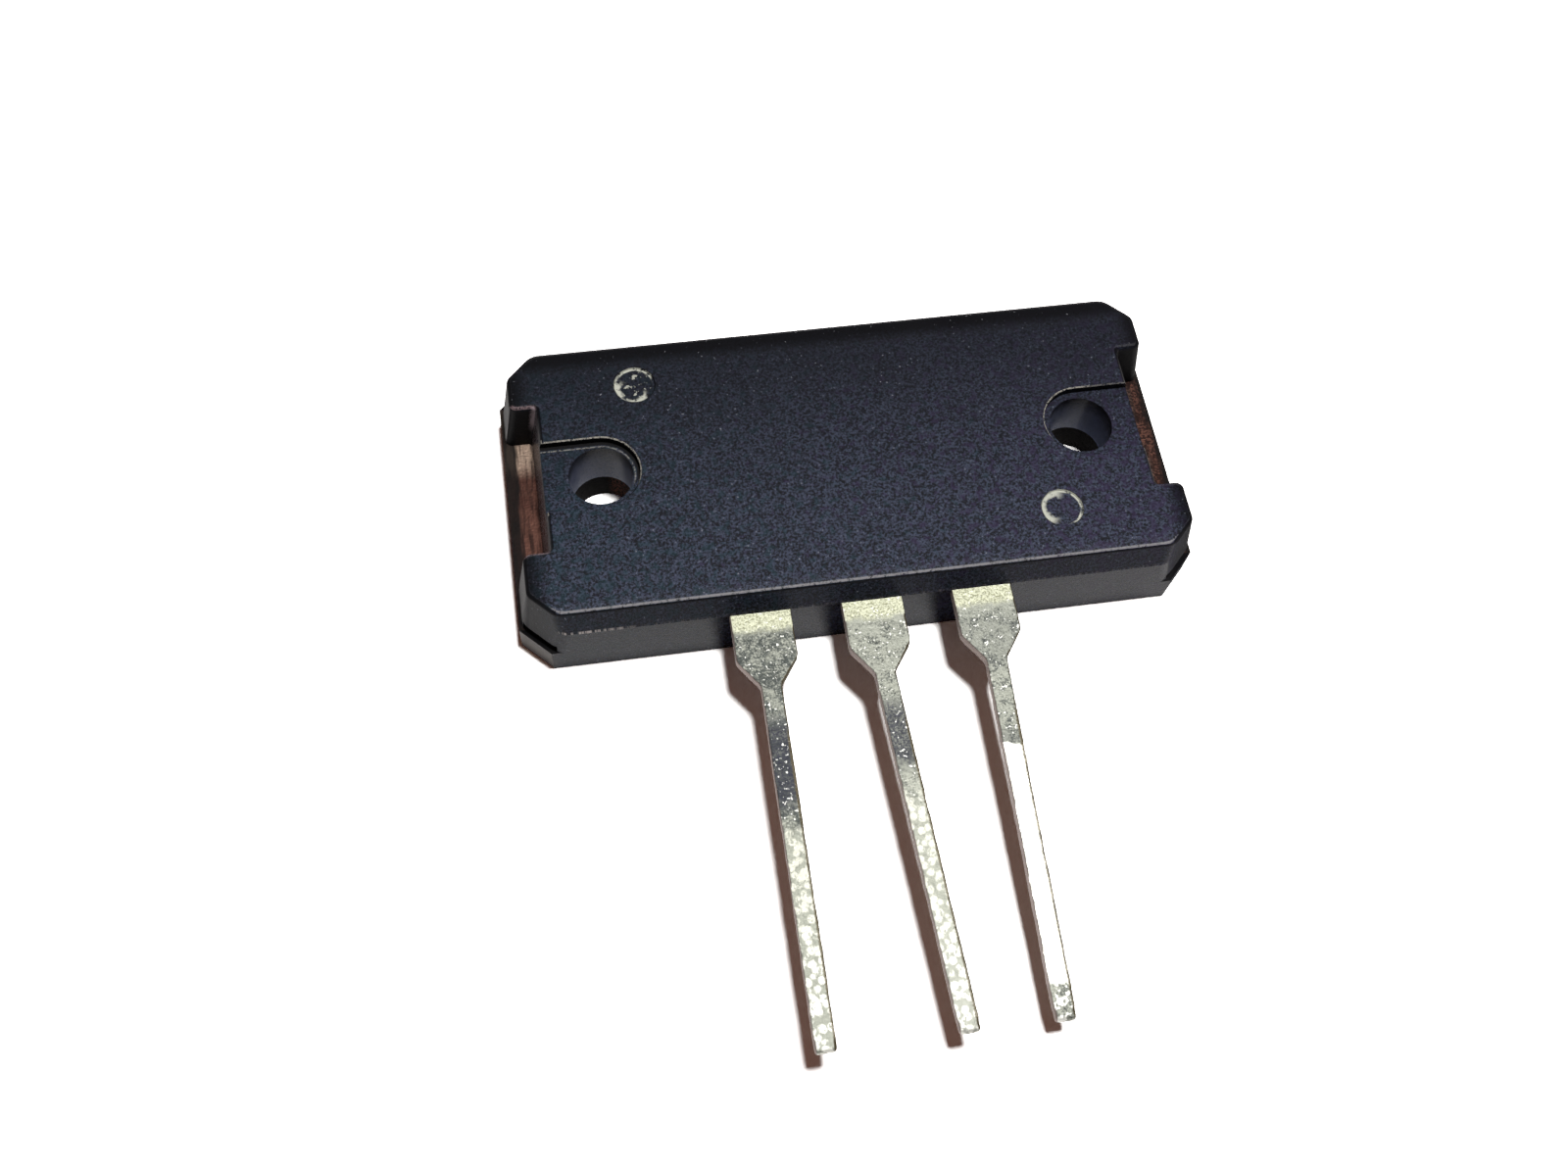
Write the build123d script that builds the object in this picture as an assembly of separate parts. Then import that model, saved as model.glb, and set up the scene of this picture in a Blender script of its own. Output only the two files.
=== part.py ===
from build123d import *
import math
import os

# Flat two-hole power transistor lying on its back: X along the body, leads towards -Y,
# origin in the middle of the back face. Lengths in millimetres, angles in degrees.

# Screw holes and lead spacing, standard for this kind of package: the holes come 24.4 apart
hole_end_distance = 4.8
hole_line_offset = 0.15
hole_diameter = 3.2
lead_pitch = 5.45

# Moulded body: a straight-walled lower half with cut corners, and an upper half that leans
# inwards. The halves meet at the lead tops on the long walls, and at the plate top elsewhere.
body_length = 34.0
body_depth = 15.7
body_height = 4.9
corner_cut = 1.45
parting_height = 3.6
long_wall_draft_angle = 20.5
end_wall_draft_angle = 9.3
upper_half_step = 0.15
upper_corner_radius = 1.0
top_edge_radius = 0.25

# Notch in the middle of each end, where the copper plate is bare, and the lobe left beside it
lobe_width = 2.4
notch_depth = 1.5
notch_side_draft_angle = 1.5
notch_mouth_radius = 0.4
notch_root_radius = 0.2

# Recess about each screw hole, marks of the ejector pins, and slots under the front corners
right_angle_half = 45.0
recess_width = 3.9
recess_depth = 0.45
rim_chamfer = 0.06
mark_diameter = 2.0
mark_depth = 0.1
mark_end_distance = 7.0
mark_wall_distance = 3.0
slot_height = 0.5
slot_depth = 0.4

# Copper base plate, with a rebate along its back edges that the moulding grips
plate_thickness = 1.7
plate_rebate_width = 0.6
plate_rebate_height = 0.7

# Leads, stamped from one strip: a wide shoulder at the body, a taper and a narrow leg
lead_thickness = 0.6
lead_length = 20.7
shoulder_width = 3.0
shoulder_length = 2.4
taper_length = 1.35
taper_radius = 0.5
leg_width = 1.05
flat_length = 1.0
base_droop_angle = 1.8
collector_droop_angle = 2.5
emitter_droop_angle = 4.3
droop_radius = 4.0
base_leg_sway = -0.15
collector_leg_sway = 0.75
emitter_leg_sway = -0.3

# Inner ends of the leads: a pad on each outer lead, a foot on the middle one
pad_width = 3.6
pad_length = 1.9
pad_reach = 3.0
foot_length = 2.0
foot_setback = 0.9
foot_lean_angle = 40.0
foot_bend_radius = 0.5

# Chip, solder and bond wires
die_size = 6.0
die_thickness = 0.3
die_gap = 0.6
solder_thickness = 0.1
solder_margin = 0.15
base_wire_diameter = 0.3
emitter_wire_diameter = 0.4
wire_foot_length = 0.7
wire_bend_radius = 1.2
wire_seat_share = 0.5
wire_peak_share = 0.4
wire_loop_share = 0.55
die_bond_x_share = 0.28
die_bond_y_share = 0.2

# How far a cut runs past the face it opens
cut_overrun = 1.0

# Planes and levels that several pieces share
half_length = body_length / 2
hole_spacing = body_length - 2 * hole_end_distance
front_wall = -body_depth / 2
corner_reach = half_length + body_depth / 2 - corner_cut
upper_height = body_height - plate_thickness
plate_width = body_depth - 2 * corner_cut
notch_width = plate_width - 2 * lobe_width
die_top = plate_thickness + solder_thickness + die_thickness
pad_end = front_wall + pad_reach
foot_start = front_wall + corner_cut + foot_setback
foot_end = foot_start + foot_length
die_centre = foot_end + die_gap + die_size / 2


def run_of(rise, angle):
    return rise * math.tan(math.radians(angle))


def between(low, high):
    return (low + high) / 2


def extruded_along_x(length, *outline):
    # A closed outline in Y and Z, drawn out to both sides
    face = make_face(Plane.YZ * Polyline(*outline, close=True))
    return extrude(face, amount=length / 2, both=True)


def on_both_ends(shape):
    return [shape, mirror(shape, Plane.YZ)]


def body_plan(inset):
    # The ends and the cut corners: the long walls come from the side profile
    end = half_length - inset
    reach = corner_reach - inset * math.sqrt(2)
    return make_face(Polyline(
        (end, reach - end), (0, reach), (-end, reach - end),
        (-end, end - reach), (0, -reach), (end, end - reach), close=True))


def upper_block(side):
    # Upright corners rounded: those at the ends in plan, those on the long walls as edges
    plan = body_plan(upper_half_step)
    ends = plan.vertices().filter_by(lambda corner: abs(corner.X) > lead_pitch)
    plan = Pos(0, 0, plate_thickness) * fillet(ends, upper_corner_radius)
    block = extrude(plan, amount=upper_height, taper=end_wall_draft_angle) & side
    limit_y = between(plate_width / 2, body_depth / 2)
    climbing = block.edges().filter_by(lambda edge: edge.bounding_box().size.Z > rim_chamfer)
    return fillet(climbing.filter_by(lambda edge: abs(edge.center().Y) > limit_y), upper_corner_radius)


def body_block():
    lower = extrude(body_plan(0), amount=plate_thickness)
    top_wall = front_wall + run_of(body_height - parting_height, long_wall_draft_angle)
    side = extruded_along_x(
        body_length + cut_overrun,
        (front_wall, 0), (-front_wall, 0), (-front_wall, parting_height),
        (-top_wall, body_height), (top_wall, body_height), (front_wall, parting_height))
    return (lower & side) + upper_block(side)


def end_notch():
    rise = upper_height + cut_overrun
    top = plate_thickness + rise
    inner = half_length - notch_depth
    outer = half_length + cut_overrun
    half_width = notch_width / 2
    top_half_width = half_width + run_of(rise, notch_side_draft_angle)
    across = make_face(Plane.XZ * Polyline(
        (inner, plate_thickness), (outer, plate_thickness),
        (outer, top), (inner - run_of(rise, end_wall_draft_angle), top), close=True))
    along = extruded_along_x(
        2 * outer,
        (-half_width, plate_thickness), (half_width, plate_thickness),
        (top_half_width, top), (-top_half_width, top))
    return Pos(0, hole_line_offset) * (extrude(across, amount=body_depth, both=True) & along)


def notch_edges(body, mouth):
    # Edges that climb a notch, at its mouth on the end wall or at its root
    limit_y = between(notch_width / 2, plate_width / 2)
    root_x = half_length - notch_depth
    climbing = body.edges().filter_by(lambda edge: edge.bounding_box().size.Z > upper_height / 2)
    near = climbing.filter_by(lambda edge: abs(edge.center().Y - hole_line_offset) < limit_y)
    return near.filter_by(lambda edge: (abs(edge.center().X) > root_x) == mouth)


def sunk_from_top(outline, depth):
    # A shallow cut into the top face, with its rim broken
    cut = extrude(outline, amount=depth + cut_overrun)
    rim = extrude(outline, amount=rim_chamfer + cut_overrun, taper=-right_angle_half)
    return Pos(0, 0, body_height - depth) * cut + Pos(0, 0, body_height - rim_chamfer) * rim


def hole_recess():
    centre = hole_spacing / 2
    outer = half_length + cut_overrun
    channel = Pos(between(centre, outer), 0) * Rectangle(outer - centre, recess_width)
    outline = channel + Pos(centre, 0) * Circle(recess_width / 2)
    return Pos(0, hole_line_offset) * sunk_from_top(outline, recess_depth)


def screw_hole():
    height = body_height + 2 * cut_overrun
    return Pos(hole_spacing / 2, hole_line_offset, body_height / 2) * Cylinder(hole_diameter / 2, height)


def ejector_marks():
    mark = sunk_from_top(Circle(mark_diameter / 2), mark_depth)
    mark_x = half_length - mark_end_distance
    mark_y = front_wall + mark_wall_distance
    return [Pos(side * mark_x, hole_line_offset + side * mark_y) * mark for side in (-1, 1)]


def corner_slot():
    # A low slot between the two halves, along the cut corner
    end = half_length - upper_half_step
    reach = corner_reach - upper_half_step * math.sqrt(2)
    start = reach + front_wall
    middle_x = between(start, end)
    length = (end - start) * math.sqrt(2)
    depth = slot_depth + cut_overrun
    block = Pos(0, (slot_depth - cut_overrun) / 2, slot_height / 2) * Box(length, depth, slot_height)
    return Pos(middle_x, middle_x - reach, plate_thickness) * Rot(0, 0, right_angle_half) * block


def moulded_body(inner_pieces):
    body = body_block()
    for notch in on_both_ends(end_notch()):
        body -= notch
    body = fillet(notch_edges(body, True), notch_mouth_radius)
    body = fillet(notch_edges(body, False), notch_root_radius)
    body = fillet(body.faces().sort_by(Axis.Z)[-1].edges(), top_edge_radius)
    for cut in (hole_recess(), screw_hole(), corner_slot()):
        for copy in on_both_ends(cut):
            body -= copy
    for mark in ejector_marks():
        body -= mark
    for piece in inner_pieces:
        body -= piece
    return body


def base_plate():
    half_width = plate_width / 2
    back_half_width = half_width - plate_rebate_width
    plate = extruded_along_x(
        body_length,
        (-back_half_width, 0), (back_half_width, 0), (back_half_width, plate_rebate_height),
        (half_width, plate_rebate_height), (half_width, plate_thickness),
        (-half_width, plate_thickness), (-half_width, plate_rebate_height),
        (-back_half_width, plate_rebate_height))
    for hole in on_both_ends(screw_hole()):
        plate -= hole
    return plate


def lead_plan(sway, pad_back, pad_front):
    wide = shoulder_width / 2
    thin = leg_width / 2
    pad = pad_width / 2
    taper_start = front_wall - shoulder_length
    taper_end = taper_start - taper_length
    tip = front_wall - lead_length
    plan = make_face(Polyline(
        (pad, pad_back), (pad, pad_front), (wide, pad_front),
        (wide, taper_start), (thin, taper_end), (sway + thin, tip),
        (sway - thin, tip), (-thin, taper_end), (-wide, taper_start),
        (-wide, pad_front), (-pad, pad_front), (-pad, pad_back), close=True))
    tapers = plan.vertices().filter_by(lambda corner: tip + taper_radius < corner.Y < front_wall)
    return fillet(tapers, taper_radius)


def lead(side, sway, droop, pad_back, pad_front, inner_points, inner_radii):
    # The strip seen from its edge, thickened downwards from its top line, cut to the plan
    bend = front_wall - flat_length
    tip = front_wall - lead_length - cut_overrun
    outer_points = [(bend, parting_height), (tip, parting_height - run_of(bend - tip, droop))]
    top_line = FilletPolyline(*inner_points, *outer_points, radius=[*inner_radii, droop_radius])
    strip = make_face(Plane.YZ * offset(top_line, amount=lead_thickness, side=Side.LEFT))
    block = extrude(strip, amount=pad_width, both=True)
    plan = lead_plan(sway, pad_back, pad_front)
    return Pos(side * lead_pitch, 0) * (block & extrude(plan, amount=body_height, both=True))


def outer_lead(side, sway, droop):
    points = [(pad_end + cut_overrun, parting_height)]
    return lead(side, sway, droop, pad_end, pad_end - pad_length, points, [])


def collector_lead():
    foot_top = plate_thickness + solder_thickness + lead_thickness
    slope_end = foot_start - run_of(parting_height - foot_top, foot_lean_angle)
    points = [(foot_end + cut_overrun, foot_top), (foot_start, foot_top), (slope_end, parting_height)]
    radii = [foot_bend_radius, foot_bend_radius + lead_thickness]
    return lead(0, collector_leg_sway, collector_droop_angle, foot_end, foot_start, points, radii)


def slab(length, depth, thickness, centre_y, bottom):
    return Pos(0, centre_y, bottom + thickness / 2) * Box(length, depth, thickness)


def die_solder():
    size = die_size + 2 * solder_margin
    return slab(size, size, solder_thickness, die_centre, plate_thickness)


def collector_solder():
    return slab(pad_width, foot_length, solder_thickness, between(foot_start, foot_end), plate_thickness)


def silicon_die():
    return slab(die_size, die_size, die_thickness, die_centre, plate_thickness + solder_thickness)


def bond_wire(side, diameter):
    # From the chip to the pad in one upright plane, with both feet pressed flat
    start = Vector(side * die_size * die_bond_x_share, die_centre - die_size * die_bond_y_share)
    end = Vector(side * lead_pitch, pad_end - pad_length / 2)
    along = end - start
    span = along.length
    seat = diameter / 2 * wire_seat_share
    peak = parting_height + wire_peak_share * (body_height - parting_height)
    upright = Plane(start, x_dir=along, z_dir=along.cross(Vector(0, 0, 1)))
    path = upright * FilletPolyline(
        (0, die_top + seat), (wire_foot_length, die_top + seat), (span * wire_loop_share, peak),
        (span - wire_foot_length, parting_height + seat), (span, parting_height + seat),
        radius=wire_bend_radius)
    wire = sweep(Plane(path @ 0, z_dir=path % 0) * Circle(diameter / 2), path=path)
    flat = Pos(0, -diameter / 2) * Box(4 * wire_foot_length, diameter, 2 * diameter)
    for place, level in ((0, die_top), (span, parting_height)):
        wire -= upright * Pos(place, level) * flat
    return wire


def build():
    pieces = {
        "base_plate": base_plate(),
        "base_lead": outer_lead(-1, base_leg_sway, base_droop_angle),
        "collector_lead": collector_lead(),
        "emitter_lead": outer_lead(1, emitter_leg_sway, emitter_droop_angle),
        "die_solder": die_solder(),
        "collector_solder": collector_solder(),
        "silicon_die": silicon_die(),
        "base_bond_wire": bond_wire(-1, base_wire_diameter),
        "emitter_bond_wire": bond_wire(1, emitter_wire_diameter),
    }
    pieces["moulded_body"] = moulded_body(list(pieces.values()))
    return pieces


os.makedirs("parts", exist_ok=True)
for name, piece in build().items():
    export_step(piece, f"parts/{name}.step")
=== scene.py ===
import bpy
import bmesh
import math
from mathutils import Euler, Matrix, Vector, noise


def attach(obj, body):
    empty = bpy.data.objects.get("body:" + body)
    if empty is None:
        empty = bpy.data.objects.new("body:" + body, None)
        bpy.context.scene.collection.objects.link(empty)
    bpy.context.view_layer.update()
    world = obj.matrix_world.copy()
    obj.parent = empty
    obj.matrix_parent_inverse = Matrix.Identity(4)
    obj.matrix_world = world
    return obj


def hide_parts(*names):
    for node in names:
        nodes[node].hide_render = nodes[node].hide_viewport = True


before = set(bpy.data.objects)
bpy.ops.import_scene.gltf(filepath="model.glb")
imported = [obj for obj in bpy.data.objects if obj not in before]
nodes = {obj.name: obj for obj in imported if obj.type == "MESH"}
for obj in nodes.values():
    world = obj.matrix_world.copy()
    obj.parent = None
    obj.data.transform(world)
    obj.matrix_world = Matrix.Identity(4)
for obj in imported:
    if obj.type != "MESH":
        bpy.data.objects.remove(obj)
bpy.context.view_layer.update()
mm = 0.001
print("frame loaded:", len(nodes), "CAD nodes")


# Shader helpers

class Wire:
    # one socket; sums on it write Math nodes
    def __init__(self, tree, socket):
        self.tree = tree
        self.socket = socket

    def calc(self, operation, first, second=0.0):
        return self.tree.node("Math", {"operation": operation}, {0: first, 1: second})

    def __add__(self, other):
        return self.calc("ADD", self, other)

    def __sub__(self, other):
        return self.calc("SUBTRACT", self, other)

    def __rsub__(self, other):
        return self.calc("SUBTRACT", other, self)

    def __mul__(self, other):
        return self.calc("MULTIPLY", self, other)

    def __pow__(self, other):
        return self.calc("POWER", self, other)

    def __or__(self, other):  # the larger of two masks
        return self.calc("MAXIMUM", self, other)

    def __abs__(self):
        return self.calc("ABSOLUTE", self)

    __radd__ = __add__
    __rmul__ = __mul__


def length(across, along):
    return (across * across + along * along) ** 0.5


def sway(cloud, amount):  # a noise as a shift to both sides
    return (cloud - 0.5) * amount


def between(mask, low, high):
    return low + mask * (high - low)


class Tree:
    # a node tree, and the nodes that the finishes are made of
    def __init__(self, nodeTree):
        self.tree = nodeTree

    def feed(self, socket, value):
        if isinstance(value, Wire):
            self.tree.links.new(value.socket, socket)
        elif socket.type == "RGBA" and len(value) == 3:
            socket.default_value = (*value, 1)
        else:
            socket.default_value = value

    def node(self, kind, settings=None, sockets=None, give=0):
        made = self.tree.nodes.new("ShaderNode" + kind)
        for name, value in (settings or {}).items():
            setattr(made, name, value)
        for name, value in (sockets or {}).items():
            self.feed(made.inputs[name], value)
        return Wire(self, made.outputs[give])

    def place(self):  # the surface point, in millimetres
        spot = self.node("TexCoord", give="Object")
        return self.node("VectorMath", {"operation": "SCALE"}, {0: spot, "Scale": 1 / mm})

    def facing(self):  # which way the surface looks
        return self.axes(self.node("NewGeometry", give="Normal"))

    def axes(self, vector):
        split = self.node("SeparateXYZ", sockets={0: vector}).socket.node
        return [Wire(self, socket) for socket in split.outputs]

    def stretch(self, vector, scale):
        return self.node("VectorMath", {"operation": "MULTIPLY"}, {0: vector, 1: scale})

    def clouds(self, vector, size, detail=2.0, rough=0.5, warp=0.0):
        return self.node("TexNoise", None, {
            "Vector": vector, "Scale": 1 / size, "Detail": detail, "Roughness": rough, "Distortion": warp})

    def fade(self, value, low, high):  # 0 below low, 1 above high; the other way round if low is the larger
        return self.node("MapRange", {"interpolation_type": "SMOOTHSTEP"}, {
            "Value": value, "From Min": low, "From Max": high, "To Min": 0.0, "To Max": 1.0})

    def band(self, value, low, high, soft):
        return self.fade(value, low - soft, low + soft) * self.fade(value, high + soft, high - soft)

    def blend(self, factor, first, second):
        return self.node("Mix", {"data_type": "RGBA"}, {0: factor, 6: first, 7: second}, 2)

    def bump(self, height, strength, depth):
        return self.node("Bump", None, {"Height": height, "Strength": strength, "Distance": depth})


class Finish(Tree):
    # a material that knows its piece's facts, with the Principled shader already wired to the output
    def __init__(self, name, facts, **fixed):
        self.facts = facts
        self.material = bpy.data.materials.new(name)
        self.material.use_nodes = True
        super().__init__(self.material.node_tree)
        self.tree.nodes.clear()
        end = self.tree.nodes.new("ShaderNodeOutputMaterial")
        self.shader = self.tree.nodes.new("ShaderNodeBsdfPrincipled")
        self.tree.links.new(self.shader.outputs[0], end.inputs[0])
        self.use(**fixed)

    def use(self, **links):
        for socket, value in links.items():
            self.feed(self.shader.inputs[socket.replace("_", " ")], value)

    def cloud(self, name, vector):  # a noise of the facts
        return self.clouds(vector, *self.facts[name])

    def part(self, value, name):  # a mask of the facts: a fade's two ends, or a band's and its softness
        ends = self.facts[name]
        return self.fade(value, *ends) if len(ends) == 2 else self.band(value, *ends)

    def coat(self, mask, colour, name, share=1.0):  # lays a colour of the facts over what is there
        return self.blend(mask * share, colour, self.facts[name])


def dress(name, finish):
    piece = nodes[name]
    piece.data.materials.clear()
    piece.data.materials.append(finish.material)


# Camera, light and table

camera = {
    "place": (-12.737, -40.835, 72.610), "turn": (26.9936, -2.7544, -8.7760),  # millimetres, degrees
    "lens": 36.8235, "sensor": 36, "near": 0.001}

eye = bpy.data.objects.new("camera", bpy.data.cameras.new("camera"))
eye.data.lens = camera["lens"]
eye.data.sensor_width = camera["sensor"]
eye.data.clip_start = camera["near"]
eye.location = Vector(camera["place"]) * mm
eye.rotation_euler = Euler([math.radians(turn) for turn in camera["turn"]], "XYZ")
bpy.context.scene.collection.objects.link(eye)
bpy.context.scene.camera = eye
bpy.context.scene.view_settings.view_transform = "Standard"

light = {
    "place": (43.0, 0.0, 350.0), "size": 62.0,  # a small soft lamp overhead, millimetres
    "level": 3.1, "colour": (1.0, 0.985, 0.965),
    "fill": (0.044, 0.021, 0.015),  # what the dim warm room gives to matt surfaces
    "backdrop": (1.0, 1.0, 1.0),  # what the camera sees past the table
    # what a gloss shows: a bright foot of the wall, up to a dim ceiling
    "horizon": (1.0, 1.0, 1.0), "ceiling": (0.10, 0.085, 0.08), "wallFoot": 0.02, "wallTop": 0.16}

lamp = bpy.data.objects.new("keyLamp", bpy.data.lights.new("keyLamp", "AREA"))
lamp.data.shape = "DISK"
lamp.data.size = light["size"] * mm
lamp.data.energy = light["level"] * math.pi * (light["place"][2] * mm) ** 2
lamp.data.color = light["colour"]
lamp.location = Vector(light["place"]) * mm
bpy.context.scene.collection.objects.link(lamp)

world = bpy.data.worlds.new("studio")
world.use_nodes = True
bpy.context.scene.world = world


def sight(tree):  # two masks: what the camera sees straight or through a clear piece, what a gloss shows
    ray = tree.node("LightPath").socket.node
    straight, gloss, clear, soft = [Wire(tree, ray.outputs[name]) for name in (
        "Is Camera Ray", "Is Glossy Ray", "Is Transmission Ray", "Diffuse Depth")]
    first = tree.fade(soft, 1.0, 0.0)
    return (straight | clear) * first, gloss * first


def paintWorld():
    room = Tree(world.node_tree)
    rise = room.axes(room.node("TexCoord", give="Generated"))[2]
    upWall = room.fade(rise, light["wallFoot"], light["wallTop"])
    shown = room.blend(upWall, light["horizon"], light["ceiling"])
    straight, gloss = sight(room)
    colour = room.blend(gloss, light["fill"], shown)
    back = world.node_tree.nodes["Background"]
    room.feed(back.inputs["Color"], room.blend(straight, colour, light["backdrop"]))
    back.inputs["Strength"].default_value = 1.0


paintWorld()

table = {
    "side": 1.6, "sink": 0.00001, "rough": 0.9,  # metres
    "far": (110.0, 260.0), "dark": (0.0, 0.0, 0.0),  # white past the lamp's reach, millimetres
    "seen": (2.5, 2.5, 2.5), "mirrored": (1.2, 1.2, 1.2), "lit": (0.78, 0.78, 0.78)}


def makeTable():
    shape = bmesh.new()
    bmesh.ops.create_grid(shape, x_segments=4, y_segments=4, size=table["side"] / 2)
    bmesh.ops.translate(shape, verts=shape.verts, vec=(0, 0, -table["sink"]))
    mesh = bpy.data.meshes.new("table")
    shape.to_mesh(mesh)
    shape.free()
    floor = bpy.data.objects.new("table", mesh)
    bpy.context.scene.collection.objects.link(floor)
    paper = Finish(
        "whiteTable", table, Roughness=table["rough"], Specular_IOR_Level=0.0, Emission_Strength=1.0)
    straight, gloss = sight(paper)
    colour = paper.coat(straight, paper.blend(gloss, table["lit"], table["mirrored"]), "seen")
    x, y = paper.axes(paper.place())[:2]
    far = straight * paper.part(length(x, y), "far")
    paper.use(Base_Color=colour, Emission_Color=paper.blend(far, table["dark"], light["backdrop"]))
    mesh.materials.append(paper.material)


makeTable()
print("camera, light and table set")


# Moulded body: black filled epoxy with a fine spark-eroded grain

epoxy = {
    "index": 1.55, "gloss": 0.12, "rough": 0.50, "smoother": 0.22, "duller": 0.40,
    "relief": 0.000014, "hueDrift": 0.007,  # metres; more violet with each millimetre to the right
    # colours
    "deep": (0.002, 0.003, 0.007), "pale": (0.055, 0.068, 0.113), "violet": (0.030, 0.019, 0.060),
    "teal": (0.009, 0.036, 0.050), "black": (0.002, 0.002, 0.003), "spark": (0.30, 0.31, 0.34),
    "wornAndHighlight": (0.26, 0.26, 0.28), "lipHighlight": (0.19, 0.14, 0.152), "rootLight": (0.085, 0.074, 0.085),
    "cornerHighlight": (0.42, 0.35, 0.39), "flash": (0.55, 0.51, 0.50), "bore": (0.14, 0.165, 0.27),
    "rim": (0.42, 0.41, 0.37), "residue": (0.56, 0.58, 0.51), "paleLowChamfer": (0.13, 0.12, 0.112),
    # noises: size in millimetres, detail, roughness
    "fine": (0.13, 3.0, 0.75), "hue": (0.45, 3.0, 0.6), "tone": (3.5, 2.0), "sparks": (0.13, 1.0),
    "pits": (0.055, 1.0), "along": (0.30, 3.0, 0.7), "slow": (3.0, 2.0), "speckle": (0.11, 3.0, 0.7),
    "blotch": (0.34, 4.0, 0.7), "spots": (0.30, 2.0, 0.6),
    # places, millimetres; the ends and the roots of the notches lean in by endSlope above the plate
    "middleY": 0.15, "notchRoot": 15.5, "plateTop": 1.7, "endSlope": 0.164, "recessHalf": 1.95,
    "holeX": 12.2,
    # masks by place, millimetres
    "nearTop": (4.70, 4.78), "shoulder": (4.50, 4.60), "frontEdge": (-6.76, -7.06),
    "backEdge": (7.18, 7.30), "frontWall": (-7.60, -7.80), "seam": (3.55, 3.72, 0.03),
    "dashesFrom": (-11.0, -13.0), "besidePlate": (1.75, 1.65), "leftHalf": (2.0, -2.0),
    "towardsRight": (-16.0, 16.0),
    "frontSheen": (8.5, -6.0), "shadeBack": (5.8, 6.9), "shadeEnds": (14.9, 16.2),
    "notchDepth": (14.95, 15.15), "notchWidth": (4.40, 4.25), "belowLip": (4.72, 4.55),
    "lipTop": (4.60, 4.70), "cornerHighlightWidth": (0.34, 0.16), "cornerHighlightHeight": (2.8, 3.8),
    "boreRadius": (1.66, 1.62), "boreDepth": (4.4, 3.2), "slotDepth": (2.7, 2.5),
    "recessWidth": (2.20, 2.10), "recessStep": (4.42, 4.46), "recessFloor": (4.415, 4.485, 0.015),
    "recessBack": (-0.6, -0.1), "straightPart": (0.0, -0.01), "wallShadow": (-0.20, -0.15),
    "footHighlight": (-0.30, -0.23, 0.02), "rimTop": (4.80, 4.83), "rimBright": (13.6, 12.2),
    # masks by the way the surface looks
    "roundedEdge": (0.80, 0.985, 0.02), "acrossEnds": (0.25, 0.1), "underEdge": (0.42, 0.74, 0.05),
    "endEdge": (0.30, 0.95, 0.04), "atEnds": (0.20, 0.32), "chamferLeft": (-0.5, -0.65),
    "chamferFront": (-0.4, -0.55), "lip": (0.45, 0.92, 0.04), "leftRoot": (-0.80, -0.92),
    "root": (0.80, 0.92), "notchBack": (-0.5, -0.7), "wall": (0.5, 0.3), "ledge": (0.3, 0.6),
    "rimLean": (0.60, 0.80, 0.05), "rimSide": (0.4, 0.1), "steep": (0.60, 0.45),
    "leadSide": (-0.6, -0.8), "endWall": (0.35, 0.55),
    # masks by noise
    "paleGrain": (0.41, 0.62), "violetPatch": (0.54, 0.70), "tealPatch": (0.46, 0.30),
    "sparkPeak": (0.72, 0.80), "sparkPatch": (0.35, 0.60), "rubbedAndLit": (0.48, 0.72),
    "thinFlash": (0.42, 0.70), "flashDash": (0.46, 0.54), "edgeSpeck": (0.64, 0.70),
    "lipPatch": (0.34, 0.56), "footPatch": (0.40, 0.54), "rimPatch": (0.36, 0.56),
    # dried flux round each ejector mark: which way it is thick, which way it is open, how much lies inside
    "marks": ({"x": -10.0, "y": 5.0, "lean": (-0.14, -0.24), "open": (0.95, -0.30), "inside": 0.8},
              {"x": 10.0, "y": -4.70, "lean": (-0.24, 0.08), "open": (-0.10, -0.90), "inside": 0.0}),
    "fluxThick": (-0.02, 0.12), "fluxOutside": (1.08, 0.98), "fluxInside": (0.50, 0.70),
    "fluxLine": (0.90, 1.03, 0.03), "fluxGap": (0.62, 0.82), "fluxPatch": (0.34, 0.46),
    "linePatch": (0.36, 0.52), "spotPeak": (0.57, 0.66), "spotsWithin": (0.95, 0.7)}


def driedFlux(skin, place, mark):
    x, y = skin.axes(place)[:2]
    across = x - mark["x"]
    along = y - mark["y"]
    leanX, leanY = mark["lean"]
    openX, openY = mark["open"]
    blotch = skin.cloud("blotch", place)
    ragged = sway(blotch, 0.6)
    away = length(across, along)
    hollow = length(across - leanX, along - leanY) + ragged
    thick = skin.part(across * leanX + along * leanY, "fluxThick")
    crescent = skin.part(away + ragged * 0.3, "fluxOutside") * skin.part(hollow, "fluxInside") * thick
    line = skin.part(away + ragged * 0.12, "fluxLine")
    gap = skin.part(across * openX + along * openY + ragged, "fluxGap")
    ring = (crescent * skin.part(blotch, "fluxPatch") | line * skin.part(blotch, "linePatch")) * (1 - gap)
    spots = skin.part(skin.cloud("spots", place), "spotPeak") * skin.part(away, "spotsWithin")
    return ring | spots * mark["inside"]


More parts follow.
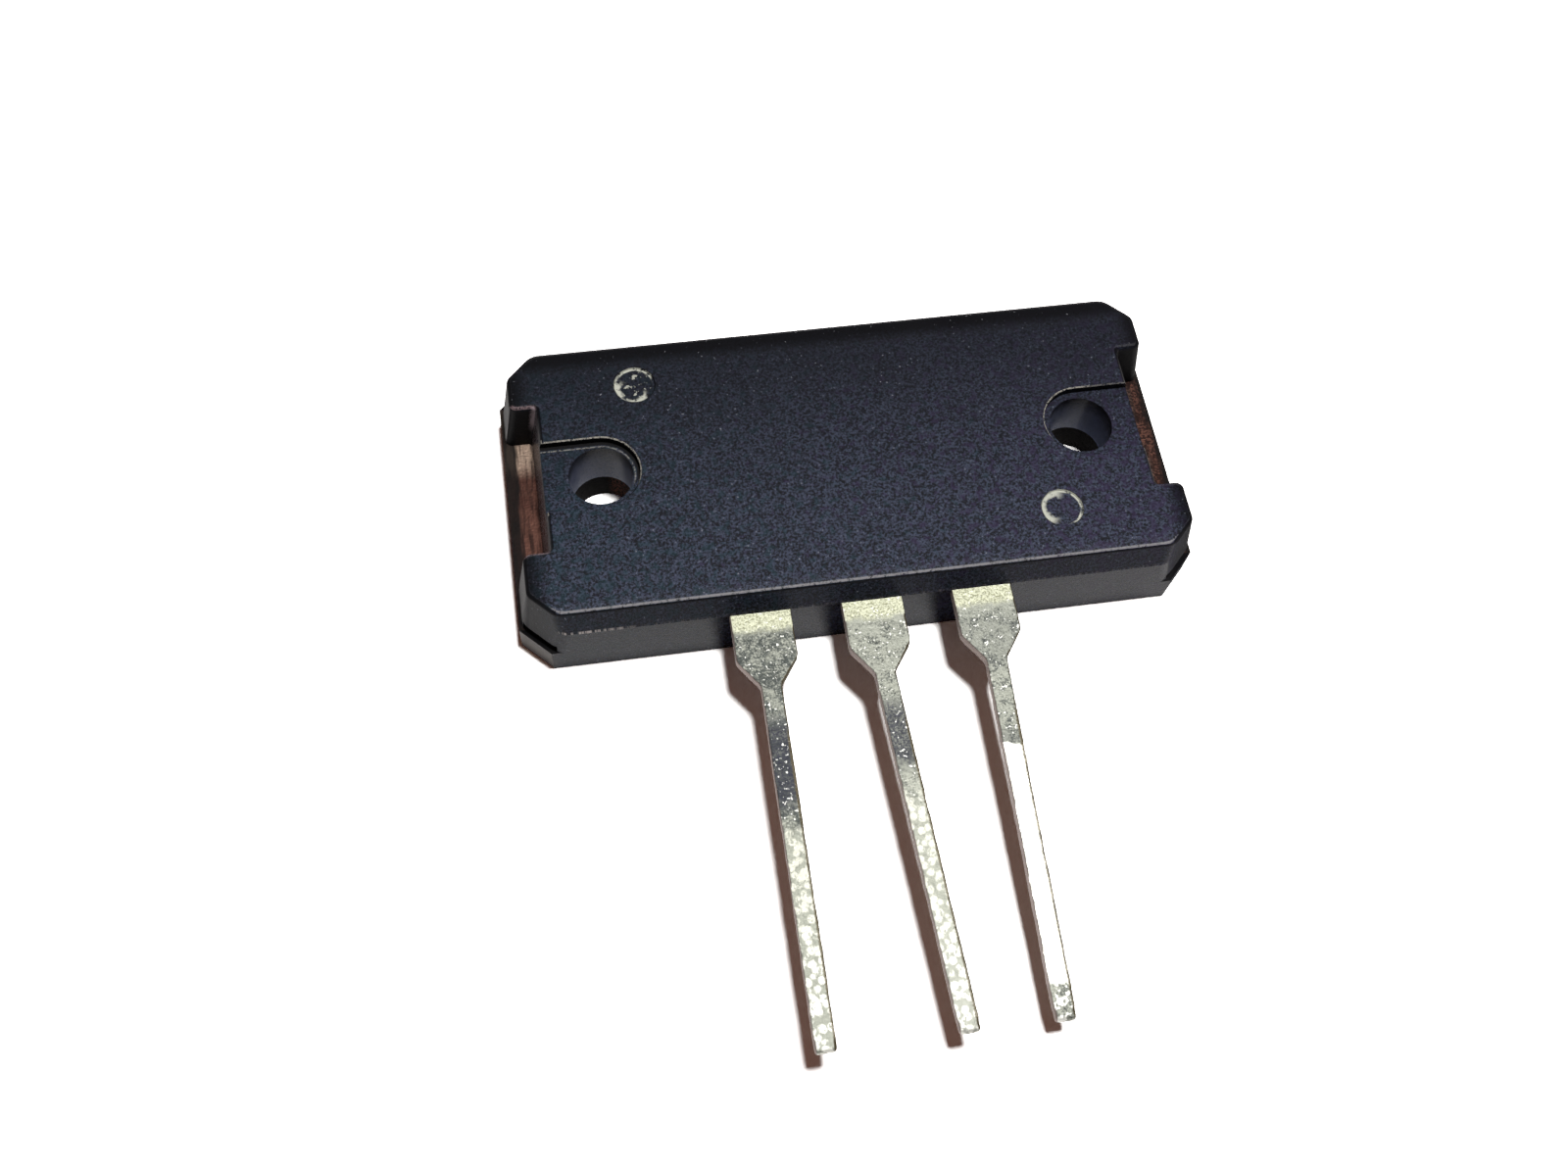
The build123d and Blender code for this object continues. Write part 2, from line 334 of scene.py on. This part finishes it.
def edgeWearLightAndShade(skin, place, colour):
    # edges painted pale, partly wear and partly a painted highlight, or painted black as shade; the lower
    # left front chamfer painted paler; the flash along the parting line
    x, y, z = skin.axes(place)
    lookX, lookY, lookZ = skin.facing()
    lengthwise = skin.stretch(place, (1, 0, 0))
    along = skin.cloud("along", lengthwise)
    high = skin.part(z, "nearTop")
    front = skin.part(y, "frontEdge")
    edges = skin.part(lookZ, "roundedEdge") * high * skin.part(abs(lookX), "acrossEnds")
    rubbedAndLit = skin.part(skin.cloud("fine", place) + skin.cloud("slow", lengthwise) * 0.4, "rubbedAndLit")
    # partly wear, partly a painted highlight along the rounded top edges, strongest at the front
    colour = skin.coat(edges * between(front, 0.15, 1.0) * rubbedAndLit, colour, "wornAndHighlight")
    shoulder = skin.part(z, "shoulder")
    # painted shade: a black band under the rounded front top edge and along the top edges of the ends
    underShade = skin.part(lookZ, "underEdge") * shoulder * front
    ends = skin.part(lookZ, "endEdge") * skin.part(abs(lookX), "atEnds") * shoulder
    colour = skin.coat(underShade | ends, colour, "black", share=0.9)
    # the lower left front chamfer is painted paler
    paleLowChamfer = skin.part(lookX, "chamferLeft") * skin.part(lookY, "chamferFront") * skin.part(z, "besidePlate")
    colour = skin.coat(paleLowChamfer, colour, "paleLowChamfer", share=0.8)
    left = skin.part(x, "dashesFrom")
    seam = skin.part(z + sway(along, 0.10) * left, "seam") * skin.part(y, "frontWall")
    seam = seam * (skin.part(along, "thinFlash") * 0.14 + left * skin.part(along, "flashDash") * 0.75)
    specks = high * skin.part(y, "backEdge") * skin.part(along, "edgeSpeck")
    return skin.coat(seam + specks, colour, "flash")


def inNotches(skin, place):
    x, y = skin.axes(place)[:2]
    return skin.part(abs(x), "notchDepth") * skin.part(abs(y - epoxy["middleY"]), "notchWidth")


def paintNotches(skin, place, colour):
    # painted shade: black inside; the left one has a painted highlight along its lip, a root wall painted
    # paler as if lit and a painted highlight in its back corner
    x, z = skin.axes(place)[::2]
    lookX, lookY, lookZ = skin.facing()
    speckle = skin.cloud("speckle", place)
    notch = inNotches(skin, place)
    leftNotch = notch * skin.part(x, "leftHalf")
    # painted shade: the notches are painted black below the lip
    colour = skin.coat(notch * skin.part(z, "belowLip"), colour, "black", share=0.95)
    # painted highlight along the lip of the left notch
    lip = leftNotch * skin.part(lookZ, "lip") * skin.part(z, "lipTop")
    colour = skin.coat(lip * skin.part(speckle, "lipPatch"), colour, "lipHighlight")
    # painted light: the root wall of the left notch is painted paler than the black around it
    root = notch * skin.part(lookX, "leftRoot")
    colour = skin.coat(root * between(speckle, 0.5, 1.0), colour, "rootLight")
    # painted highlight: the back wall next to the root is painted pale, as a rounded corner would catch the
    # light
    outward = abs(x) - epoxy["notchRoot"] + (z - epoxy["plateTop"]) * epoxy["endSlope"]
    corner = leftNotch * skin.part(lookY, "notchBack")
    corner = corner * skin.part(outward + sway(speckle, 0.3), "cornerHighlightWidth")
    corner = corner * skin.part(z + sway(speckle, 0.8), "cornerHighlightHeight")
    return skin.coat(corner, colour, "cornerHighlight", share=0.7)


def paintHoles(skin, place, colour):
    # the screw holes, the recesses about them and the slots in the front corners, with painted shade in the
    # bores, slots and recesses and painted highlights, partly burr, along the recess rims
    x, y, z = skin.axes(place)
    lookY, lookZ = skin.facing()[1:]
    speckle = skin.cloud("speckle", place)
    aside = abs(y - epoxy["middleY"])
    across = abs(x) - epoxy["holeX"]
    wall = skin.part(lookZ, "wall")
    bore = skin.part(length(across, aside), "boreRadius") * wall
    colour = skin.coat(bore, colour, "black")
    deep = between(skin.part(z, "boreDepth"), 0.15, 1.0)  # painted shade: the bores are blackest under the rim, and lower down painted a paler blue as if lit
    colour = skin.coat(bore * deep * between(speckle, 0.7, 1.3), colour, "bore")
    # painted shade: the up-facing ledges low on the body, the slot floors among them, are painted black
    colour = skin.coat(skin.part(z, "slotDepth") * skin.part(lookZ, "ledge"), colour, "black")
    recess = skin.part(aside, "recessWidth")
    step = recess * wall * skin.part(z, "recessStep") * (1 - bore)
    inward = skin.part(across, "straightPart") * across
    reach = length(inward, aside) - epoxy["recessHalf"]
    floor = skin.part(z, "recessFloor") * skin.part(y, "recessBack") * (1 - wall)
    floor = floor * skin.part(x, "leftHalf")  # painted shadow: only the left recess gets a black band along its wall
    wallShadow = floor * skin.part(reach + sway(speckle, 0.05), "wallShadow")
    # painted shade: the recess walls and the band of the left recess floor beside its wall are painted
    # black
    colour = skin.coat(step | wallShadow, colour, "black")
    # painted highlight: a pale line at the foot of the left recess wall
    footHighlight = floor * skin.part(reach, "footHighlight") * skin.part(speckle, "footPatch")
    colour = skin.coat(footHighlight, colour, "rim", share=0.5)
    # pale recess rims: partly burr, partly a painted highlight
    rim = skin.part(lookZ, "rimLean") * skin.part(z, "rimTop") * recess * skin.part(lookY, "rimSide")
    rim = rim * between(skin.part(x, "rimBright"), 0.3, 1.0)
    return skin.coat(rim * skin.part(speckle, "rimPatch"), colour, "rim")


def paintEpoxy():
    skin = Finish("mouldedEpoxy", epoxy, IOR=epoxy["index"], Specular_IOR_Level=epoxy["gloss"])
    place = skin.place()
    x, y, z = skin.axes(place)
    lookX, lookY, lookZ = skin.facing()
    fine = skin.cloud("fine", place)
    tone = skin.cloud("tone", place)
    hue = skin.cloud("hue", place) + x * epoxy["hueDrift"]
    colour = skin.blend(skin.part(fine, "paleGrain"), epoxy["deep"], epoxy["pale"])
    colour = skin.coat(skin.part(hue, "violetPatch"), colour, "violet", share=0.60)
    colour = skin.coat(skin.part(hue, "tealPatch"), colour, "teal", share=0.5)
    frontSheen = skin.part(y + sway(tone, 5), "frontSheen")  # painted shade and sheen: the top is painted darker towards the back and paler towards the leads
    colour = skin.coat(1 - frontSheen, colour, "deep", share=0.80)
    # painted shade: the top is painted near black along the back and at the ends
    edgeShade = skin.part(y, "shadeBack") | skin.part(abs(x), "shadeEnds")
    colour = skin.coat(edgeShade, colour, "black", share=0.9)
    steep = skin.part(lookZ, "steep")
    colour = skin.coat(steep, colour, "deep", share=0.55)
    sparks = skin.part(skin.cloud("sparks", place), "sparkPeak") * skin.part(tone, "sparkPatch")
    colour = skin.coat(sparks, colour, "spark", share=0.7)
    colour = edgeWearLightAndShade(skin, place, colour)
    colour = paintNotches(skin, place, colour)
    colour = paintHoles(skin, place, colour)
    for mark in epoxy["marks"]:
        colour = skin.coat(driedFlux(skin, place, mark) * skin.part(z, "nearTop"), colour, "residue")
    notch = inNotches(skin, place)
    root = notch * skin.part(abs(lookX), "root")
    smooth = steep * skin.part(lookY, "leadSide") | root  # the side the leads come out of is the smoothest
    ends = steep * skin.part(abs(lookX), "endWall") * skin.part(x, "towardsRight")
    matt = (ends | notch | edgeShade * (1 - steep)) - root
    uneven = sway(fine, 0.25) + sway(tone, 0.10)
    rough = epoxy["rough"] - smooth * epoxy["smoother"] + matt * epoxy["duller"] + uneven
    relief = fine * 0.65 + skin.cloud("pits", place) * 0.35
    skin.use(Base_Color=colour, Roughness=rough, Normal=skin.bump(relief, 1.0, epoxy["relief"]))
    return skin


dress("moulded_body", paintEpoxy())
print("moulded body painted")


# Base plate: bare copper, tarnished in the open notches

copper = {
    "gloss": 0.15, "metallic": 0.85, "rough": 0.42, "relief": 0.00003,  # metres
    # colours
    "bare": (0.125, 0.060, 0.046), "tarnish": (0.074, 0.033, 0.026), "umber": (0.012, 0.008, 0.008),
    "strawHighlight": (0.42, 0.32, 0.25), "beige": (0.16, 0.12, 0.10), "edge": (0.005, 0.004, 0.004),
    "boreBlack": (0.004, 0.003, 0.003), "boreLitRed": (0.11, 0.045, 0.030),
    # noises: size in millimetres, detail, roughness, warp; the streaks run along the ends
    "streak": (0.24, 3.0, 0.6), "streakStretch": (1, 0.12, 1), "blotch": (1.3, 3.0, 0.6, 0.4),
    "speck": (0.11, 2.0),
    # places, millimetres; the dull strip along each end is narrower at the right one
    "outer": 17.0, "dullStrip": 0.62, "narrower": 0.36, "holeX": 12.2, "holeY": 0.15,
    # masks by place, millimetres
    "leftNotch": (-12.0, -14.0), "strawFrom": (1.95, 3.15), "rightNotch": (12.0, 14.0),
    "rightStrip": (15.5, 16.3, 0.15), "rightHalf": (-2.0, 2.0), "pastRim": (-0.12, 0.15),
    "boreRadius": (1.68, 1.62), "boreWarm": (-11.7, -10.9, 0.25),
    # masks by noise
    "tarnishPatch": (0.36, 0.62), "beigePatch": (0.40, 0.6), "mottlePatch": (0.36, 0.54),
    "umberPatch": (0.42, 0.68), "warmPatch": (0.40, 0.60)}


def paintCopper():
    skin = Finish("barePlate", copper, Specular_IOR_Level=copper["gloss"])
    place = skin.place()
    x, y = skin.axes(place)[:2]
    streak = skin.cloud("streak", skin.stretch(place, copper["streakStretch"]))
    blotch = skin.cloud("blotch", place)
    speck = skin.cloud("speck", place)
    colour = skin.blend(skin.part(blotch, "tarnishPatch"), copper["bare"], copper["tarnish"])
    # painted highlight: a pale straw patch on the copper at the back of the left notch
    strawHighlight = skin.part(y + sway(blotch, 1.2), "strawFrom") * skin.part(x, "leftNotch")
    colour = skin.coat(strawHighlight, colour, "strawHighlight", share=0.8)
    beige = skin.part(x + sway(blotch, 0.5), "rightStrip") * skin.part(streak, "beigePatch")
    colour = skin.coat(beige, colour, "beige", share=0.6)
    mottle = skin.part(x, "rightNotch") * skin.part(speck + sway(blotch, 0.5), "mottlePatch") * 0.85
    colour = skin.coat(skin.part(streak, "umberPatch") * 0.75 | mottle, colour, "umber")
    rim = copper["outer"] - copper["dullStrip"] + skin.part(x, "rightHalf") * copper["narrower"]
    edge = skin.part(abs(x) + sway(streak, 0.5) - rim, "pastRim")
    colour = skin.coat(edge, colour, "edge", share=0.92)
    # the copper in the holes is painted black, partly dark oxide and partly painted shade, with a painted
    # lit patch of red copper on one side
    bore = skin.part(length(abs(x) - copper["holeX"], y - copper["holeY"]), "boreRadius")
    colour = skin.coat(bore, colour, "boreBlack")
    colour = skin.coat(bore * skin.part(x, "boreWarm") * skin.part(speck, "warmPatch"), colour, "boreLitRed")
    metallic = (copper["metallic"] - edge * 0.75) * (1 - bore)
    rough = copper["rough"] + speck * 0.25 + edge * 0.12 + bore * 0.40
    relief = skin.bump(streak + speck, 0.7, copper["relief"])
    skin.use(Base_Color=colour, Metallic=metallic, Roughness=rough, Normal=relief)
    return skin


dress("base_plate", paintCopper())
print("base plate painted")


# Leads: copper strip with a lumpy dipped coat of solder

tin = {
    # the coat's form: millimetres, rounds, shares, noise waves in a millimetre
    "weld": 0.001, "voxel": 0.06, "smoothing": 6, "softness": 0.5, "tip": 0.6, "tipRounds": 24,
    "lump": 0.05, "lumpWaves": (2.2, 1.3, 2.2), "thinLump": 0.4, "ripple": 0.018, "rippleWaves": 5.5,
    "legFrom": -17.0, "legTo": -27.0, "slice": 0.1,
    # surface
    "metallic": 0.95, "rough": 0.60, "relief": 0.00004,  # metres
    # colours
    "coat": (0.62, 0.63, 0.55), "bead": (0.31, 0.325, 0.28), "white": (0.85, 0.86, 0.80),
    "mid": (0.34, 0.355, 0.31), "dull": (0.085, 0.095, 0.090), "spark": (0.85, 0.86, 0.82),
    "stain": (0.038, 0.040, 0.056), "collarHighlight": (0.68, 0.70, 0.55), "collarHighlightDim": (0.34, 0.35, 0.24),
    "shearedLeftAndLit": (0.36, 0.30, 0.28), "shearedRightAndShaded": (0.12, 0.10, 0.06), "underShade": (0.14, 0.13, 0.12),
    # noises: size in millimetres, detail, roughness
    "specks": (0.10, 2.0, 0.7), "lumps": (0.55, 4.0, 0.65), "sparks": (0.16, 1.0), "tipBeads": (0.30, 1.0),
    "drift": (0.26, 3.0, 0.65), "driftStretch": (1, 0.6, 1), "beadSize": 0.36,
    # masks by place, millimetres
    "stainSoft": 0.6, "endSoft": 0.1, "halfLeg": 0.5, "collarEnd": (-9.05, -8.55),
    "whiteTip": (-28.5, -21.0), "rightEdgeReflection": (0.33, 0.40), "edgeLineFrom": (-13.5, -14.5),
    # masks by the way the surface looks
    "leftSide": (-0.35, -0.6), "rightSide": (0.12, 0.34), "underside": (-0.3, -0.6),
    # masks by noise
    "dullPatch": (0.40, 0.60), "stainPatch": (0.72, 0.42), "collarPatch": (0.36, 0.58),
    "sparkPeak": (0.63, 0.71), "sparkPatch": (0.44, 0.54), "tipBeadPeak": (0.52, 0.60),
    "beadGap": (0.42, 0.66), "beadShade": (0.48, 0.34),
    # grey: dull share of the upper part; stains: from, to, depth; bright: where the dipped coat begins;
    # soft: how gradually; beads: how grainy that coat is; end: where it stops short of the tip
    "leads": {
        "base_lead": {"grey": 0.58, "stains": ((-17.6, -13.4, 0.95),), "bright": -18.5, "soft": 0.6,
                      "beads": 0.95, "end": -29.0},
        "collector_lead": {"grey": 0.24, "stains": ((-16.3, -13.2, 0.92),), "bright": -17.6, "soft": 0.9,
                           "beads": 0.85, "end": -29.0},
        "emitter_lead": {"grey": 0.34, "stains": ((-15.9, -15.3, 0.5), (-12.2, -9.4, 0.22)),
                         "bright": -15.85, "soft": 0.08, "beads": 0.08, "end": -26.9}}}


def lumpDepth(spot, facts):  # how far the coat lies below the full thickness
    lumps = noise.noise(Vector([along * waves for along, waves in zip(spot, tin["lumpWaves"])]))
    ripple = noise.noise(spot * tin["rippleWaves"])
    thin = tin["thinLump"] if spot.y > facts["bright"] else 1.0
    return tin["lump"] * (0.5 + 0.5 * lumps) * thin + tin["ripple"] * (0.5 + 0.5 * ripple)


def rightEdge(shape):  # the straight line along the right side of the narrow leg: x at y = 0, and its slope
    ends = []
    for level in (tin["legFrom"], tin["legTo"]):
        near = [point.co.x for point in shape.verts if abs(point.co.y - level) < tin["slice"]]
        ends.append(max(near))
    slope = (ends[0] - ends[1]) / (tin["legFrom"] - tin["legTo"])
    return ends[0] - tin["legFrom"] * slope, slope


def coatLead(name, facts):
    shape = bmesh.new()
    shape.from_mesh(nodes[name].data)
    bmesh.ops.remove_doubles(shape, verts=shape.verts, dist=tin["weld"] * mm)
    bmesh.ops.scale(shape, verts=shape.verts, vec=(1 / mm, 1 / mm, 1 / mm))
    rough = bpy.data.meshes.new(name + "Rough")
    shape.to_mesh(rough)
    shape.free()
    helper = bpy.data.objects.new(name + "Rough", rough)
    bpy.context.scene.collection.objects.link(helper)
    cells = helper.modifiers.new("cells", "REMESH")
    cells.mode = "VOXEL"
    cells.voxel_size = tin["voxel"]
    soft = helper.modifiers.new("soft", "SMOOTH")
    soft.iterations = tin["smoothing"]
    soft.factor = tin["softness"]
    mesh = bpy.data.meshes.new_from_object(helper.evaluated_get(bpy.context.evaluated_depsgraph_get()))
    bpy.data.objects.remove(helper)
    shape = bmesh.new()
    shape.from_mesh(mesh)
    tipLevel = min(point.co.y for point in shape.verts) + tin["tip"]
    tipPoints = [point for point in shape.verts if point.co.y < tipLevel]
    for turn in range(tin["tipRounds"]):  # wears the corners of the cut end round
        bmesh.ops.smooth_vert(
            shape, verts=tipPoints, factor=tin["softness"],
            use_axis_x=True, use_axis_y=True, use_axis_z=True)
    shape.normal_update()
    for point in shape.verts:
        point.co -= point.normal * lumpDepth(point.co, facts)
    edge = rightEdge(shape)
    bmesh.ops.scale(shape, verts=shape.verts, vec=(mm, mm, mm))
    for face in shape.faces:
        face.smooth = True
    shape.to_mesh(mesh)
    shape.free()
    piece = bpy.data.objects.new(name + "_coat", mesh)
    bpy.context.scene.collection.objects.link(piece)
    mesh.materials.clear()
    mesh.materials.append(paintTin(name, facts, edge).material)
    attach(piece, "root")
    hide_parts(name)
    print(name, "coated:", len(mesh.polygons), "faces")


def paintTin(name, facts, edge):
    skin = Finish(name + "_tin", tin)
    place = skin.place()
    x, y = skin.axes(place)[:2]
    lookX, lookZ = skin.facing()[::2]
    specks = skin.cloud("specks", place)
    lumps = skin.cloud("lumps", place)
    dull = skin.part(lumps * 0.5 + specks * 0.5 + sway(facts["grey"], 0.28), "dullPatch")
    colour = skin.blend(dull, tin["mid"], tin["dull"])
    ragged = y + sway(lumps, 1.6)
    for low, high, depth in facts["stains"]:
        stain = skin.band(ragged, low, high, tin["stainSoft"]) * skin.part(specks, "stainPatch")
        colour = skin.coat(stain, colour, "stain", share=depth)
    # painted highlight: the first millimetre of each lead by the body is painted bright
    upper = ragged * 0.5 + y * 0.5 + sway(specks, 0.6)
    collarLight = skin.blend(skin.part(specks, "collarPatch"), tin["collarHighlightDim"], tin["collarHighlight"])
    colour = skin.blend(skin.part(upper, "collarEnd"), colour, collarLight)
    # painted glints: bright specks, and beads near the cut end, laid into the tin's colour
    sparks = skin.part(skin.cloud("sparks", place), "sparkPeak") * skin.part(lumps, "sparkPatch")
    tipBeads = skin.part(skin.cloud("tipBeads", place), "tipBeadPeak")
    end = facts["end"]
    sparks = sparks | tipBeads * skin.fade(y, end, end - tin["endSoft"])
    colour = skin.coat(sparks, colour, "spark")
    across = x - (edge[0] + y * edge[1]) + tin["halfLeg"]  # from the middle of the leg
    start, soft = facts["bright"], facts["soft"]
    level = y + across * 0.3 + sway(lumps, soft * 2 + 0.2)
    bright = skin.fade(level, start + soft, start - soft)
    bright = bright * skin.fade(y + sway(lumps, 0.4), end - tin["endSoft"], end + tin["endSoft"])
    drift = skin.cloud("drift", skin.stretch(place, tin["driftStretch"]))
    away = skin.node("TexVoronoi", None, {"Vector": place, "Scale": 1 / tin["beadSize"]})
    gaps = skin.part(away + sway(drift, 0.7), "beadGap")
    beads = (gaps | skin.part(drift + sway(lumps, 0.6), "beadShade")) * facts["beads"]
    clear = skin.blend(skin.part(y, "whiteTip") * facts["beads"], tin["white"], tin["coat"])
    colour = skin.blend(bright, colour, skin.blend(beads, clear, tin["bead"]))
    # the left sides: sheared copper under the tin, painted paler for the floor's light bounced onto them
    colour = skin.coat(skin.part(lookX, "leftSide"), colour, "shearedLeftAndLit")
    # painted shade and reflection: a dark line along the right edge of the narrow leg, and darker right
    # sides
    line = skin.part(across + sway(specks, 0.08), "rightEdgeReflection") * skin.part(y, "edgeLineFrom") * 0.85
    colour = skin.coat(line | skin.part(lookX, "rightSide"), colour, "shearedRightAndShaded")
    # painted shade: the underside of each lead is painted darker
    colour = skin.coat(skin.part(lookZ, "underside"), colour, "underShade")
    rough = tin["rough"] - bright * (1 - facts["beads"]) * 0.10 + sway(specks, 0.20)
    relief = skin.bump(specks * 0.5 + drift * 0.5, 1.0, tin["relief"])
    skin.use(Base_Color=colour, Metallic=tin["metallic"], Roughness=rough, Normal=relief)
    return skin


for leadName, leadFacts in tin["leads"].items():
    coatLead(leadName, leadFacts)
print("leads coated")


# What the moulding seals in

solder = {"colour": (0.45, 0.45, 0.44), "metallic": 1.0, "rough": 0.4}
bondWire = {"colour": (0.78, 0.79, 0.80), "metallic": 1.0, "rough": 0.25}
inner = {
    "silicon_die": {"colour": (0.10, 0.11, 0.13), "metallic": 0.6, "rough": 0.12},
    "die_solder": solder, "collector_solder": solder,
    "base_bond_wire": bondWire, "emitter_bond_wire": bondWire}
mottling = {"size": 0.2, "dark": 0.7, "rough": 0.15}


def paintInner(name, facts):
    skin = Finish(name + "_finish", facts, Metallic=facts["metallic"])
    mottle = skin.clouds(skin.place(), mottling["size"])
    dark = [part * mottling["dark"] for part in facts["colour"]]
    rough = facts["rough"] + mottle * mottling["rough"]
    skin.use(Base_Color=skin.blend(mottle, dark, facts["colour"]), Roughness=rough)
    return skin


for innerName, innerFacts in inner.items():
    dress(innerName, paintInner(innerName, innerFacts))
print("inner pieces painted")
